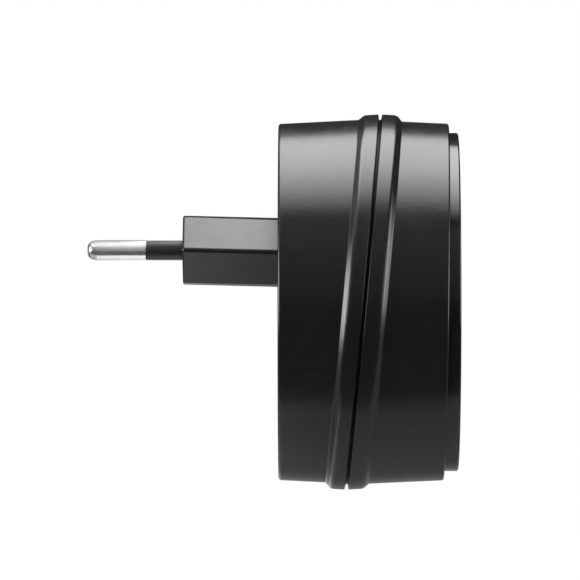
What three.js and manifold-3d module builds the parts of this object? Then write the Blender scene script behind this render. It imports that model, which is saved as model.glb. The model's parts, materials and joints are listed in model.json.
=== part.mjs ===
// A round plug-in smart switch: a mains plug behind, and a two-pole outlet, a push button and a light ring
// in front. Millimetres. The origin is the centre of the plug's engagement face, between the pins. +X points
// out of the wall, +Z is up, and the two pins lie side by side along Y. The round case hangs below the plug's
// axis.
import * as THREE from "three";
import { mergeVertices } from "three/addons/utils/BufferGeometryUtils.js";
import Module from "manifold-3d";

const wasm = await Module();
wasm.setup();

// ---------------------------------------------------------------- driving dimensions

const GAP = 0.3; // clearance between neighbouring pieces
const ROUND = 48; // facets round the case
const FINE = 16; // facets round small turned pieces

// The flat two-pole plug: a long hexagon with pointed ends.
const plug = {
  width: 35.3,
  height: 13.7,
  facet: THREE.MathUtils.degToRad(45), // slope of the pointed ends
  nose: 0.8, // radius of the points
  length: 18.9, // engagement face to the back of the case
  straight: 1.0, // from here to the case the plug slopes down a little
  fall: 0.45, // how far it has come down at its seat
  recess: 0.6, // depth of its seat in the back of the case
  endWall: 3.2,
};
const pin = {
  radius: 2.0,
  coreRadius: 1.35,
  length: 19.0,
  bare: 11.7, // metal that shows at the tip
  baseSpacing: 19.0,
  tipSpacing: 17.6,
  tail: 9.0, // length inside the plug
  sleeveRadius: 1.92,
  sleeveInside: 2.8, // how far the sleeve goes into the plug
};
const contactY = pin.baseSpacing / 2;
const wire = { radius: 0.6, notch: [8.6, 12.6] }; // the notch is given by its two sides, from the middle

// The round case. x is measured from its back face, radii from its own axis.
const shell = {
  axisDrop: 10.3, // the case's axis below the plug's
  backRadius: 35.6,
  backDraft: 0.0505,
  frontRadius: 35.65,
  frontDraft: 0.0454,
  edge: 0.6, // rounding at the back edge
  wall: 2.1,
  backPlate: 2.4,
  parting: 16.96, // where the parting plane crosses the axis
  partingSlope: Math.tan(THREE.MathUtils.degToRad(5.2)),
  groove: 0.7, // width of the groove between the collars
  grooveRadius: 36.2,
  collar: 4.35, // parting plane to the foot of the collar
  shoulder: 1.35, // length of the collar's sloping shoulder
  collarRadius: 37.5,
  collarFall: 0.15, // the crown falls this much from the groove to the shoulder
  spigot: 2.4, // the back half's lip, inside the front half
  rim: 33.47, // the front rim, on the axis
  rimLean: 0.153, // share of the parting plane's slope that the rim follows
};

// The glossy disc on the front, and the pieces that it frames.
const fascia = { radius: 33.8, wall: 1.6, plate: 1.6, dome: 0.25, edge: 0.5, front: 36.1, pocket: 32.5 };
const hook = { radius: 30.4, halfWidth: 2.5, thickness: 1.4, barb: 0.9, angles: [0, 88, 152, 208, 272] };
const frontWall = { from: 30.7, to: 32.5 }; // the front half's inner plate
const outlet = { clearance: 0.5, wall: 1.5, depth: 11.4, floor: 1.8, holeRadius: 2.5, flange: 1.5 };
const button = { drop: 20.0, radius: 7.45, flangeRadius: 8.5, opening: 9.2, travel: 0.5 };
const ring = { inner: 7.75, outer: 8.75, flangeRadius: 10.3, leg: 1.6 };
const shutter = { travel: 6.0, halfWidth: 13.2, low: -3.2, high: 3.4, back: 37.8, front: 40.9 };
const spring = { radius: 1.4, wire: 0.4, turns: 7, length: 9.0 };

// Boards and posts, seen from the front in the case's own frame: y across, z up from its axis.
const board = { from: 6.1, thickness: 1.6, radius: 31.2, cutHalfWidth: 17.4, cutBottom: 1.5 };
const control = { from: 25.7, thickness: 1.2, halfWidth: 13.4, bottom: -29.2, top: -3.0 };
const postRadius = 30.3;
const posts = [48, 130, 230, 312].map((degrees) => {
  const a = THREE.MathUtils.degToRad(degrees);
  return { y: postRadius * Math.sin(a), z: postRadius * Math.cos(a) };
});
const boardScrews = [-1, 1].map((side) => ({ y: side * 27.2, z: -3.5 }));
const controlScrews = [-1, 1].map((side) => ({ y: side * 10.6, z: -6.4 }));
const bossTop = 11.1; // where the back half's screw bosses meet the front half's posts

// ---------------------------------------------------------------- materials

const finish = (color, roughness, metalness = 0) =>
  new THREE.MeshStandardMaterial({ color, roughness, metalness });
const material = {
  case: finish(0x141414, 0.42),
  gloss: finish(0x0d0d0d, 0.12),
  plugBlack: finish(0x161616, 0.35),
  sleeve: finish(0x191919, 0.5),
  nickel: finish(0xc9c6be, 0.22, 1),
  bronze: finish(0xb98a4a, 0.35, 1),
  steel: finish(0xa9acad, 0.35, 1),
  nylon: finish(0xd9d6cc, 0.55),
  laminate: finish(0x1c5a34, 0.45),
  relayBlue: finish(0x2357a8, 0.4),
  copper: finish(0xa8582e, 0.35, 1),
  ferrite: finish(0x2d2c2c, 0.7),
  tape: finish(0xd9b92b, 0.4),
  capacitor: finish(0x1d2036, 0.35),
  filmYellow: finish(0xd2a72c, 0.4),
  varistor: finish(0x2b6bb0, 0.4),
  epoxy: finish(0x181818, 0.5),
  fuse: finish(0x4a2f20, 0.4),
  wireBrown: finish(0x5a3420, 0.5),
  wireBlue: finish(0x1f5fae, 0.5),
  translucent: finish(0xe8efee, 0.3),
  label: finish(0x8d9092, 0.5),
};

// ---------------------------------------------------------------- geometry helpers

// Turns shapes drawn in (y, z) so that they are extruded along X.
const alongX = new THREE.Matrix4().makeBasis(
  new THREE.Vector3(0, 1, 0),
  new THREE.Vector3(0, 0, 1),
  new THREE.Vector3(1, 0, 0),
);

function solidOf(geometry) {
  const bare = geometry.clone();
  bare.deleteAttribute("normal");
  bare.deleteAttribute("uv");
  const merged = mergeVertices(bare, 1e-4);
  return new wasm.Manifold(
    new wasm.Mesh({
      numProp: 3,
      vertProperties: merged.attributes.position.array,
      triVerts: new Uint32Array(merged.index.array),
    }),
  );
}

function geometryOf(solid) {
  const mesh = solid.getMesh();
  return new THREE.BufferGeometry()
    .setAttribute("position", new THREE.BufferAttribute(mesh.vertProperties.slice(), 3))
    .setIndex(new THREE.BufferAttribute(mesh.triVerts.slice(), 1));
}

const joined = (...pieces) => geometryOf(pieces.map(solidOf).reduce((a, b) => a.add(b)));
const cut = (base, ...tools) => geometryOf(tools.map(solidOf).reduce((a, b) => a.subtract(b), solidOf(base)));

// A body of revolution about X. Each profile point is [x, radius, lean, draft]: lean moves the ring along X
// in step with its height, and draft widens it as it moves, so that it stays on its cone.
function turned(profile, facets = FINE) {
  const outline = profile.map(([x, radius]) => new THREE.Vector2(radius, x));
  const geometry = new THREE.LatheGeometry(outline, facets).rotateZ(-Math.PI / 2);
  const p = geometry.attributes.position;
  for (let i = 0; i < p.count; i++) {
    const [, radius, lean = 0, draft = 0] = profile[i % profile.length];
    if (!lean) continue;
    const shift = lean * shell.partingSlope * p.getZ(i);
    const widen = 1 + (draft * shift) / radius;
    p.setXYZ(i, p.getX(i) + shift, p.getY(i) * widen, p.getZ(i) * widen);
  }
  return geometry;
}

const rod = (from, to, radius, facets = FINE) =>
  turned([[from, 0], [from, radius], [to, radius], [to, 0]], facets);

const tube = (from, to, inner, outer, facets = FINE) =>
  turned([[from, inner], [from, outer], [to, outer], [to, inner], [from, inner]], facets);

const box = (x0, x1, y0, y1, z0, z1) =>
  new THREE.BoxGeometry(x1 - x0, y1 - y0, z1 - z0).translate((x0 + x1) / 2, (y0 + y1) / 2, (z0 + z1) / 2);

function extruded(shape, from, to, chamfer = 0, segments = 3) {
  const options = {
    depth: to - from - 2 * chamfer,
    curveSegments: segments,
    bevelEnabled: chamfer > 0,
    bevelThickness: chamfer,
    bevelSize: chamfer,
    bevelOffset: -chamfer,
    bevelSegments: 1,
  };
  return new THREE.ExtrudeGeometry(shape, options).applyMatrix4(alongX).translate(from + chamfer, 0, 0);
}

function roundedRectangle(y0, y1, z0, z1, radius) {
  const quarter = Math.PI / 2;
  const s = new THREE.Shape();
  s.absarc(y1 - radius, z0 + radius, radius, -quarter, 0);
  s.absarc(y1 - radius, z1 - radius, radius, 0, quarter);
  s.absarc(y0 + radius, z1 - radius, radius, quarter, 2 * quarter);
  s.absarc(y0 + radius, z0 + radius, radius, 2 * quarter, 3 * quarter);
  return s;
}

const roundedBox = (x0, x1, y0, y1, z0, z1, radius, chamfer = 0) =>
  extruded(roundedRectangle(y0, y1, z0, z1, radius), x0, x1, chamfer, radius > 1 ? 3 : 1);

// The plug's outline, grown on every side.
function plugOutline(grow) {
  const halfHeight = plug.height / 2 + grow;
  const nose = plug.nose + grow;
  const centre = plug.width / 2 - plug.nose;
  const sweep = Math.PI / 2 - plug.facet;
  const flat =
    centre + nose * Math.sin(plug.facet) - (halfHeight - nose * Math.cos(plug.facet)) / Math.tan(plug.facet);
  const s = new THREE.Shape();
  s.moveTo(-flat, -halfHeight);
  s.lineTo(flat, -halfHeight);
  s.absarc(centre, 0, nose, -sweep, sweep);
  s.lineTo(flat, halfHeight);
  s.lineTo(-flat, halfHeight);
  s.absarc(-centre, 0, nose, Math.PI - sweep, Math.PI + sweep);
  return s;
}

// ---------------------------------------------------------------- assembly helpers

const smartPlug = new THREE.Group();
const caseFrame = new THREE.Group(); // x from the case's back face, z from the case's axis
caseFrame.position.set(plug.length, 0, -shell.axisDrop);
smartPlug.add(caseFrame);

function add(frame, name, geometry, look) {
  const mesh = new THREE.Mesh(geometry, look);
  mesh.name = name;
  frame.add(mesh);
  return mesh;
}

// A plug-frame x as the case frame's x, and a plug-frame z as its z.
const caseX = (x) => x - plug.length;
const caseZ = (z) => z + shell.axisDrop;

// ---------------------------------------------------------------- case

const footX = shell.parting - shell.collar;
const crownX = footX + shell.shoulder;
const crownRadius = shell.collarRadius - shell.collarFall;
const backFootRadius = shell.backRadius + shell.backDraft * footX;
const frontFootX = shell.parting + shell.collar;
const frontFootRadius = shell.frontRadius + shell.frontDraft * (shell.rim - frontFootX);
const spigotEnd = shell.parting + shell.spigot;
const spigotInner = shell.grooveRadius - 1.5;

// Where the plug enters: a shallow seat with the plug's own outline, and an opening for its spigot.
const plugSeat = plug.length + plug.recess - GAP; // where the plug's outer body ends
const plugRecess = () => extruded(plugOutline(GAP + 0.1), -1, plug.recess).translate(0, 0, caseZ(-plug.fall));
const plugOpening = () =>
  roundedBox(-9, 9, -14.3 - GAP, 14.3 + GAP, caseZ(-4.8 - GAP), caseZ(4.8 + GAP), 2.0);

function rearCase() {
  const { edge, groove, parting, backPlate } = shell;
  const cup = turned(
    [
      [0, 0],
      [0, shell.backRadius - edge],
      [edge * 0.3, shell.backRadius - edge * 0.3],
      [edge, shell.backRadius],
      [footX, backFootRadius, 1, shell.backDraft],
      [crownX, crownRadius, 1],
      [parting - groove / 2, shell.collarRadius, 1],
      [parting - groove / 2, shell.grooveRadius, 1],
      [spigotEnd, shell.grooveRadius, 1],
      [spigotEnd, spigotInner, 1],
      [backPlate, shell.backRadius - shell.wall],
      [backPlate, 0],
    ],
    ROUND,
  );
  const bosses = posts.map(({ y, z }) => rod(1, bossTop, 3.5, 16).translate(0, y, z));
  const standoffs = boardScrews.map(({ y, z }) => rod(1, board.from - GAP / 2, 2.6, 12).translate(0, y, z));
  const counterbores = posts.map(({ y, z }) => rod(-1, 7.1, 2.6, 16).translate(0, y, z));
  const throughHoles = posts.map(({ y, z }) => rod(6, bossTop + 1, 1.5, 12).translate(0, y, z));
  const pilots = boardScrews.map(({ y, z }) => rod(2.0, 7, 1.15, 12).translate(0, y, z));
  const labelRecess = roundedBox(-1, 0.35, -13.2, 13.2, -28.2, -10.8, 1.8);
  return cut(
    joined(cup, ...bosses, ...standoffs),
    plugRecess(),
    plugOpening(),
    ...counterbores,
    ...throughHoles,
    ...pilots,
    labelRecess,
  );
}

// The hole in the front half, and in the fascia, for the outlet's well.
const wellOpening = (from) =>
  extruded(plugOutline(outlet.clearance + outlet.wall + GAP), from, 40).translate(0, 0, caseZ(0));

function frontCase() {
  const { parting, groove, rim, rimLean, wall } = shell;
  const rebate = shell.grooveRadius + GAP;
  const pocketRadius = fascia.radius + GAP;
  const inner = frontFootRadius - wall;
  const drum = turned(
    [
      [parting + groove / 2, rebate, 1],
      [parting + groove / 2, shell.collarRadius, 1],
      [frontFootX - shell.shoulder, crownRadius, 1],
      [frontFootX, frontFootRadius, 1, -shell.frontDraft],
      [rim - 0.5, shell.frontRadius, rimLean],
      [rim, shell.frontRadius - 0.4, rimLean],
      [rim, pocketRadius, rimLean],
      [frontWall.to, pocketRadius],
      [frontWall.to, inner - 1],
      [frontWall.from, inner - 1],
      [frontWall.from, inner],
      [spigotEnd + GAP, inner, 1],
      [spigotEnd + GAP, rebate, 1],
      [parting + groove / 2, rebate, 1],
    ],
    ROUND,
  );
  const plate = rod(frontWall.from, frontWall.to, inner - 0.5, ROUND);
  const screwPosts = posts.map(({ y, z }) =>
    rod(bossTop + GAP, frontWall.from + 0.5, 3.0, 16).translate(0, y, z),
  );
  const boardPosts = controlScrews.map(({ y, z }) =>
    rod(control.from + control.thickness + GAP / 2, frontWall.from + 0.5, 2.2, 12).translate(0, y, z),
  );
  const pilots = posts.map(({ y, z }) => rod(bossTop, 22, 1.35, 12).translate(0, y, z));
  const boardPilots = controlScrews.map(({ y, z }) => rod(24, 30.6, 1.1, 12).translate(0, y, z));
  const buttonOpening = rod(25, 40, button.opening, 32).translate(0, 0, -button.drop);
  const legOpening = box(25, 40, -ring.flangeRadius - GAP, ring.flangeRadius + GAP, -1.5, 1.5);
  return cut(
    joined(drum, plate, ...screwPosts, ...boardPosts),
    wellOpening(25),
    ...pilots,
    ...boardPilots,
    buttonOpening,
    legOpening.translate(0, 0, -button.drop),
    ...fasciaHooks(GAP),
  );
}

// The hooks that hold the fascia, or, grown by the clearance, the slots that they go through.
function fasciaHooks(grow) {
  const { radius, halfWidth, thickness, barb, angles } = hook;
  return angles.map((degrees) => {
    const leg = box(
      frontWall.from - 1.5, fascia.front - 1.2, -halfWidth - grow, halfWidth + grow,
      radius - thickness - grow, radius + grow,
    );
    const lip = box(
      frontWall.from - 1.5, frontWall.from - GAP, -halfWidth, halfWidth,
      radius - thickness / 2, radius + barb,
    );
    return (grow ? leg : joined(leg, lip)).rotateX(-THREE.MathUtils.degToRad(degrees));
  });
}

function frontFascia() {
  const { radius, wall, plate, dome, edge, front, pocket } = fascia;
  const domeAt = (r) => front - dome * (r / radius) ** 2;
  const shellProfile = [
    [front - plate, 0],
    [front - plate, radius - wall],
    [pocket + GAP, radius - wall],
    [pocket + GAP, radius],
    [domeAt(radius) - edge, radius],
    [domeAt(radius) - edge * 0.3, radius - edge * 0.3],
    [domeAt(radius - edge), radius - edge],
    [domeAt(radius * 0.66), radius * 0.66],
    [domeAt(radius * 0.33), radius * 0.33],
    [front, 0],
  ];
  const ringHole = rod(30, 40, ring.outer + GAP, 32).translate(0, 0, -button.drop);
  return joined(cut(turned(shellProfile, ROUND), wellOpening(30), ringHole), ...fasciaHooks(0));
}

function ratingLabel() {
  return roundedBox(0.08, 0.28, -13.0, 13.0, -28.0, -11.0, 1.6);
}

// ---------------------------------------------------------------- plug

function plugBody() {
  const face = extruded(plugOutline(0), 0, 2 * plug.straight, 0.35);
  const slope = extruded(plugOutline(0), plug.straight, plugSeat);
  const p = slope.attributes.position;
  for (let i = 0; i < p.count; i++) {
    const along = (p.getX(i) - plug.straight) / (plugSeat - plug.straight);
    p.setZ(i, p.getZ(i) - plug.fall * along);
  }
  const outer = joined(face, slope);
  const spigot = roundedBox(plugSeat - 1, plug.length + 4.2, -14.3, 14.3, -4.8, 4.8, 1.8);
  const barbs = [-1, 1].map((side) =>
    box(plug.length + shell.backPlate + GAP, plug.length + 3.9, -4, 4, side * 4.8 - 0.6, side * 4.8 + 0.6),
  );
  const cavity = roundedBox(plug.endWall, plug.length + 6, -12.7, 12.7, -3.3, 3.3, 1.2);
  const holes = pinFrames().map(({ place }) => place(rod(-1, plug.endWall + 1, pin.sleeveRadius + 0.12)));
  const notches = [-1, 1].map((side) => {
    const [near, far] = wire.notch.map((y) => side * y);
    return box(
      plug.length + shell.backPlate - 0.1, plug.length + 6, Math.min(near, far), Math.max(near, far), -6, -3,
    );
  });
  return cut(joined(outer, spigot, ...barbs), cavity, ...holes, ...notches);
}

// The two pins lean towards each other at their tips. place() moves a piece from a pin's axis to the plug.
function pinFrames() {
  const lean = Math.atan((pin.baseSpacing - pin.tipSpacing) / 2 / pin.length);
  return [
    { name: "live", side: -1 },
    { name: "neutral", side: 1 },
  ].map(({ name, side }) => ({
    name,
    side,
    place: (geometry) => geometry.rotateZ(side * lean).translate(0, side * contactY, 0),
  }));
}

function contactPin() {
  const { radius, coreRadius, length, bare, tail } = pin;
  const nose = radius * 0.9;
  const steps = [0, 20, 40, 60, 80].map((degrees) => THREE.MathUtils.degToRad(degrees));
  return turned([
    [-length, 0],
    ...steps.map((a) => [-length + nose * (1 - Math.cos(a)), radius * Math.sin(a)]).slice(1),
    [-length + nose, radius],
    [-length + bare, radius],
    [-length + bare, coreRadius],
    [plug.endWall + GAP, coreRadius],
    [plug.endWall + GAP, 2.6],
    [plug.endWall + GAP + 1, 2.6],
    [plug.endWall + GAP + 1, coreRadius],
    [tail, coreRadius],
    [tail, 0],
  ]);
}

function pinSleeve() {
  return tube(-pin.length + pin.bare + 0.05, pin.sleeveInside, pin.coreRadius + 0.1, pin.sleeveRadius);
}

function pinRetainer() {
  const from = plug.endWall + 2 * GAP + 1;
  const plate = roundedBox(from, from + 1.6, -12.4, 12.4, -3.0, 3.0, 1.0);
  const holes = pinFrames().map(({ side }) =>
    rod(0, 10, pin.coreRadius + 0.4).translate(0, side * contactY, 0),
  );
  return cut(plate, ...holes);
}

// A soldered wire from a pin's tail, through a notch in the plug's spigot, to the back of the board.
function plugWire(side) {
  const route = new THREE.CatmullRomCurve3(
    [
      [pin.tail + GAP, 9.8, 0],
      [14.0, 9.8, -0.6],
      [18.5, 9.8, -1.4],
      [21.2, 10.0, -2.0],
      [22.3, 10.4, -4.2],
      [22.5, 11.0, -8.0],
      [22.8, 11.6, -12.0],
      [24.0, 12.0, -14.6],
    ].map(([x, y, z]) => new THREE.Vector3(x, side * y, z)),
  );
  const section = new THREE.Shape().absarc(0, 0, wire.radius, 0, 2 * Math.PI);
  return new THREE.ExtrudeGeometry(section, { steps: 14, extrudePath: route, curveSegments: 4 });
}

// ---------------------------------------------------------------- outlet

const wellFloor = plug.length + fascia.front - outlet.depth; // the floor that a mating plug seats on
const housingBack = wellFloor - 7.0;

function outletWell() {
  const lip = plug.length + fascia.front - 0.12;
  const flangeFrom = plug.length + frontWall.to + GAP;
  const body = extruded(plugOutline(outlet.clearance + outlet.wall), wellFloor - outlet.floor, lip, 0.2);
  const flangeOutline = plugOutline(outlet.clearance + outlet.wall + outlet.flange);
  const flange = extruded(flangeOutline, flangeFrom, flangeFrom + 1.2);
  const recess = extruded(plugOutline(outlet.clearance), wellFloor, lip + 5);
  const holes = [-contactY, contactY].map((y) =>
    turned([
      [wellFloor - 5, 0],
      [wellFloor - 5, outlet.holeRadius],
      [wellFloor - 0.7, outlet.holeRadius],
      [wellFloor + 0.1, outlet.holeRadius + 0.8],
      [wellFloor + 0.1, 0],
    ]).translate(0, y, 0),
  );
  return cut(joined(body, flange), recess, ...holes);
}

// The open-fronted box behind the well that guides the shutter and its spring.
function shutterHousing() {
  const top = wellFloor - outlet.floor - GAP;
  const floor = shutter.back - 0.4;
  const lowest = shutter.low - spring.length;
  const body = joined(
    roundedBox(housingBack, top, -15.4, 15.4, -11.2, 6.6, 1.2),
    roundedBox(housingBack, top, -3.8, 3.8, lowest - 1.8, 0, 1.2),
  );
  const travelSpace = box(
    floor, top + 1, -shutter.halfWidth - 0.4, shutter.halfWidth + 0.4,
    shutter.low - shutter.travel - 0.4, shutter.high + 0.4,
  );
  const springSpace = box(floor, top + 1, -2.1, 2.1, lowest - 0.15, 0);
  const holes = [-contactY, contactY].map((y) => rod(30, 45, outlet.holeRadius + 0.1).translate(0, y, 0));
  return cut(body, travelSpace, springSpace, ...holes);
}

// The slider that closes both contact holes. Two pins pressed on its ramps push it down together.
function outletShutter() {
  const { back, front, low, high, halfWidth } = shutter;
  const section = new THREE.Shape();
  section.moveTo(back, low);
  section.lineTo(front, low);
  section.lineTo(front, low + 1.6);
  section.lineTo(back + 0.8, high);
  section.lineTo(back, high);
  // the section is drawn in (x, z) and swept along Y
  const slider = new THREE.ExtrudeGeometry(section, { depth: 2 * halfWidth, bevelEnabled: false })
    .rotateX(Math.PI / 2)
    .translate(0, halfWidth, 0);
  const peg = new THREE.CylinderGeometry(0.9, 0.9, 2.4, 16).rotateX(Math.PI / 2);
  return joined(slider, peg.translate((back + 0.4 + front) / 2 - 0.1, 0, low - 0.7));
}

function shutterSpring() {
  const x = (shutter.back + shutter.front) / 2 + 0.1;
  const wireRadius = spring.wire / 2;
  const rise = spring.length - spring.wire - GAP;
  const points = [];
  const perTurn = 6;
  for (let i = 0; i <= spring.turns * perTurn; i++) {
    const turn = i / perTurn;
    const a = 2 * Math.PI * turn;
    const z = shutter.low - GAP / 2 - wireRadius - (rise * turn) / spring.turns;
    points.push(new THREE.Vector3(x + spring.radius * Math.cos(a), spring.radius * Math.sin(a), z));
  }
  const path = new THREE.CatmullRomCurve3(points);
  const section = new THREE.Shape().absarc(0, 0, wireRadius, 0, 2 * Math.PI);
  const steps = points.length - 1;
  return new THREE.ExtrudeGeometry(section, { steps, extrudePath: path, curveSegments: 3 });
}

const blockBack = plug.length + 5.1;
const contactBack = blockBack + 1.5;
const tailHalfWidth = 0.35;

function contactBlock() {
  const front = housingBack - GAP;
  const body = roundedBox(blockBack, front, -15.4, 15.4, -6.6, 6.6, 1.2);
  const bores = [-contactY, contactY].flatMap((y) => [
    rod(contactBack - GAP, front + 1, 3.5).translate(0, y, 0),
    box(contactBack - GAP, front + 1, y - tailHalfWidth - GAP, y + tailHalfWidth + GAP, -8, 0),
  ]);
  const lightening = roundedBox(blockBack - 1, front - 2, -4.6, 4.6, -4.2, 4.2, 1.0);
  return cut(body, ...bores, lightening);
}

// A slotted spring tube that grips the pin, with a flat tail for the board.
function socketContact() {
  const front = housingBack - 2 * GAP;
  const barrel = tube(contactBack, front, 2.15, 3.1, 24);
  const tail = box(contactBack, contactBack + 3.6, -tailHalfWidth, tailHalfWidth, -11.2, -2.6);
  const slit = box(contactBack + 3, front + 1, -0.5, 0.5, 0, 5);
  return joined(cut(barrel, slit), tail);
}

// ---------------------------------------------------------------- button and light

function powerButton() {
  const top = fascia.front - 0.15;
  return cut(
    turned([
      [frontWall.from - 0.1, 0],
      [frontWall.from - 0.1, 1.8],
      [frontWall.from + 0.3, 1.8],
      [frontWall.from + 0.3, button.flangeRadius],
      [frontWall.to - 0.35, button.flangeRadius],
      [frontWall.to - 0.35, button.radius],
      [top - 0.4, button.radius],
      [top - 0.1, button.radius - 0.3],
      [top, button.radius * 0.6],
      [top + 0.05, 0],
    ], 32),
    tube(frontWall.from - 1, top - 1.5, 2.6, 6.2, 24),
  );
}

function lightRing() {
  const flangeFrom = frontWall.to + GAP;
  const flangeTo = fascia.front - fascia.plate - GAP;
  const body = turned([
    [flangeFrom, ring.inner],
    [flangeFrom, ring.flangeRadius],
    [flangeTo, ring.flangeRadius],
    [flangeTo, ring.outer],
    [fascia.front - 0.3, ring.outer],
    [fascia.front - 0.15, ring.outer - 0.15],
    [fascia.front - 0.15, ring.inner + 0.15],
    [fascia.front - 0.3, ring.inner],
    [flangeFrom, ring.inner],
  ], 32);
  const legs = [-1, 1].map((side) => {
    const y = side * (ring.flangeRadius - 0.5);
    return box(ledTop + GAP, flangeTo - 0.1, y - 0.5, y + 0.5, -ring.leg / 2, ring.leg / 2);
  });
  return joined(body, ...legs);
}

const controlFront = control.from + control.thickness;
const ledTop = controlFront + 0.05 + 0.75;

const statusLed = () => box(controlFront + 0.05, ledTop, -0.8, 0.8, -0.5, 0.5);

function switchBody() {
  const top = frontWall.from - 0.9;
  const body = roundedBox(controlFront + 0.05, top, -3, 3, -3, 3, 0.5);
  return cut(body, rod(controlFront + 1, top + 1, 1.75));
}

const switchPlunger = () => rod(controlFront + 1.6, frontWall.from - 0.4, 1.45, 24);

// ---------------------------------------------------------------- power board

const boardFront = board.from + board.thickness;
const seat = boardFront + 0.05; // where the components stand

function powerBoard() {
  const disc = rod(board.from, boardFront, board.radius, 40);
  const outletCut = box(0, 20, -board.cutHalfWidth, board.cutHalfWidth, board.cutBottom, 40);
  const postCuts = posts.map(({ y, z }) => rod(0, 20, 3.9, 16).translate(0, y, z));
  const screwHoles = boardScrews.map(({ y, z }) => rod(0, 20, 1.3, 12).translate(0, y, z));
  const notches = [-contactY, contactY].map((y) => box(0, 20, y - 0.7, y + 0.7, -1.3, 3));
  const pinHoles = headerPins().map(({ y, z }) => box(0, 20, y - 0.6, y + 0.6, z - 0.6, z + 0.6));
  return cut(disc, outletCut, ...postCuts, ...screwHoles, ...notches, ...pinHoles);
}

const relay = { y: -13.2, z: -14.0, width: 10.4, length: 18.6, height: 15.2 };

function relayBase() {
  const half = { y: relay.width / 2 - 1, z: relay.length / 2 - 1 };
  const plate = box(seat, seat + 1.4, -half.y, half.y, -half.z, half.z);
  const yoke = box(seat + 1, seat + 12.2, -3.4, 3.4, -7.9, -6.7);
  return joined(plate, yoke).translate(0, relay.y, relay.z);
}

function relayCase() {
  const half = { y: relay.width / 2, z: relay.length / 2 };
  const outer = roundedBox(seat, seat + relay.height, -half.y, half.y, -half.z, half.z, 0.6, 0.2);
  const room = { y: half.y - 0.8, z: half.z - 0.8 };
  const inner = box(seat - 1, seat + relay.height - 0.8, -room.y, room.y, -room.z, room.z);
  return cut(outer, inner).translate(0, relay.y, relay.z);
}

// The coil stands on the base. Its iron core and winding are one piece.
function relayCoil() {
  const winding = rod(seat + 2.0, seat + 11.0, 3.2);
  const flanges = [seat + 1.7, seat + 10.7].map((x) => rod(x, x + 1.2, 3.9));
  const core = rod(seat + 11, seat + 12.3, 2.0);
  return joined(winding, ...flanges, core).translate(0, relay.y, relay.z - 1.4);
}

// The armature lies on the yoke's edge, a little off the core, and closes on it when the coil pulls.
function relayArmature() {
  return box(seat + 12.85, seat + 13.75, -3.4, 3.4, -7.9, 6.2).translate(0, relay.y, relay.z);
}

const transformer = { y: 12.6, z: -12.2 };

function transformerCore() {
  const outer = box(seat + 2.6, seat + 12.0, -6.5, 6.5, -3.0, 3.0);
  const windows = [-3.4, 3.4].map((y) => box(seat + 4.4, seat + 10.2, y - 1.7, y + 1.7, -5, 5));
  return cut(outer, ...windows).translate(0, transformer.y, transformer.z);
}

function transformerBobbin() {
  const feet = [-5.2, 5.2].map((z) => box(seat, seat + 2.3, -6.4, 6.4, z - 1.4, z + 1.4));
  const web = box(seat, seat + 1.2, -6.4, 6.4, -5, 5);
  return joined(...feet, web).translate(0, transformer.y, transformer.z);
}

// The taped winding: two bulges in front of and behind the core, wrapped round its middle leg.
function transformerWinding() {
  const block = roundedBox(seat + 4.7, seat + 9.9, -4.8, 4.8, -6.4, 6.4, 1.6);
  const core = box(seat + 4, seat + 11, -1.7 - GAP, 1.7 + GAP, -3.3, 3.3);
  const corners = [-5, 5].map((y) => box(seat + 4, seat + 11, y - 0.5, y + 0.5, -3.3, 3.3));
  return cut(block, core, ...corners).translate(0, transformer.y, transformer.z);
}

// An upright electrolytic capacitor with its rolled groove and vent.
function electrolytic(radius, height) {
  return turned([
    [seat, 0],
    [seat, radius - 0.3],
    [seat + 0.3, radius],
    [seat + 1.3, radius],
    [seat + 1.7, radius - 0.35],
    [seat + 2.1, radius],
    [seat + height - 0.4, radius],
    [seat + height, radius - 0.4],
    [seat + height - 0.15, radius - 0.8],
    [seat + height - 0.15, 0],
  ]);
}

const filmCapacitor = () => roundedBox(seat, seat + 11, -2.5, 2.5, -6, 6, 0.4, 0.25);

// The varistor is a coated disc standing on its edge.
function varistor() {
  return new THREE.CylinderGeometry(4.4, 4.4, 3.4, FINE).translate(seat + 5.0, 0, 0);
}

function fuse() {
  return turned([
    [seat, 0],
    [seat, 3.9],
    [seat + 0.4, 4.2],
    [seat + 7.6, 4.2],
    [seat + 8.0, 3.8],
    [seat + 8.0, 0],
  ]);
}

function choke() {
  return turned([
    [seat, 0],
    [seat, 3.6],
    [seat + 1.2, 3.6],
    [seat + 1.2, 2.9],
    [seat + 6.3, 2.9],
    [seat + 6.3, 3.6],
    [seat + 7.5, 3.6],
    [seat + 7.5, 0],
  ]);
}

const chip = (y, z, height) => roundedBox(seat, seat + height, -y / 2, y / 2, -z / 2, z / 2, 0.2);

// A bent resistance strip that carries the load current past the metering chip.
function currentShunt() {
  const feet = [-4.4, 4.4].map((y) => box(seat, seat + 2.2, y - 0.5, y + 0.5, -1.6, 1.6));
  return joined(box(seat + 1.5, seat + 2.3, -4.9, 4.9, -1.6, 1.6), ...feet);
}

// ---------------------------------------------------------------- control board

function headerPins() {
  return [-2, -1, 0, 1, 2].map((i) => ({ y: i * 2.54, z: -27.4 }));
}

function boardHeader() {
  const block = box(seat, seat + 2.5, -6.4, 6.4, -28.7, -26.1);
  const pins = headerPins().map(({ y, z }) =>
    box(board.from - 1, controlFront + 1.2, y - 0.32, y + 0.32, z - 0.32, z + 0.32),
  );
  return joined(block, ...pins);
}

function controlBoard() {
  const { halfWidth, bottom, top } = control;
  const plate = roundedBox(control.from, controlFront, -halfWidth, halfWidth, bottom, top, 2.0);
  const pinHoles = headerPins().map(({ y, z }) => box(20, 30, y - 0.6, y + 0.6, z - 0.6, z + 0.6));
  const screwHoles = controlScrews.map(({ y, z }) => rod(20, 30, 1.2, 12).translate(0, y, z));
  return cut(plate, ...pinHoles, ...screwHoles);
}

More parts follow.
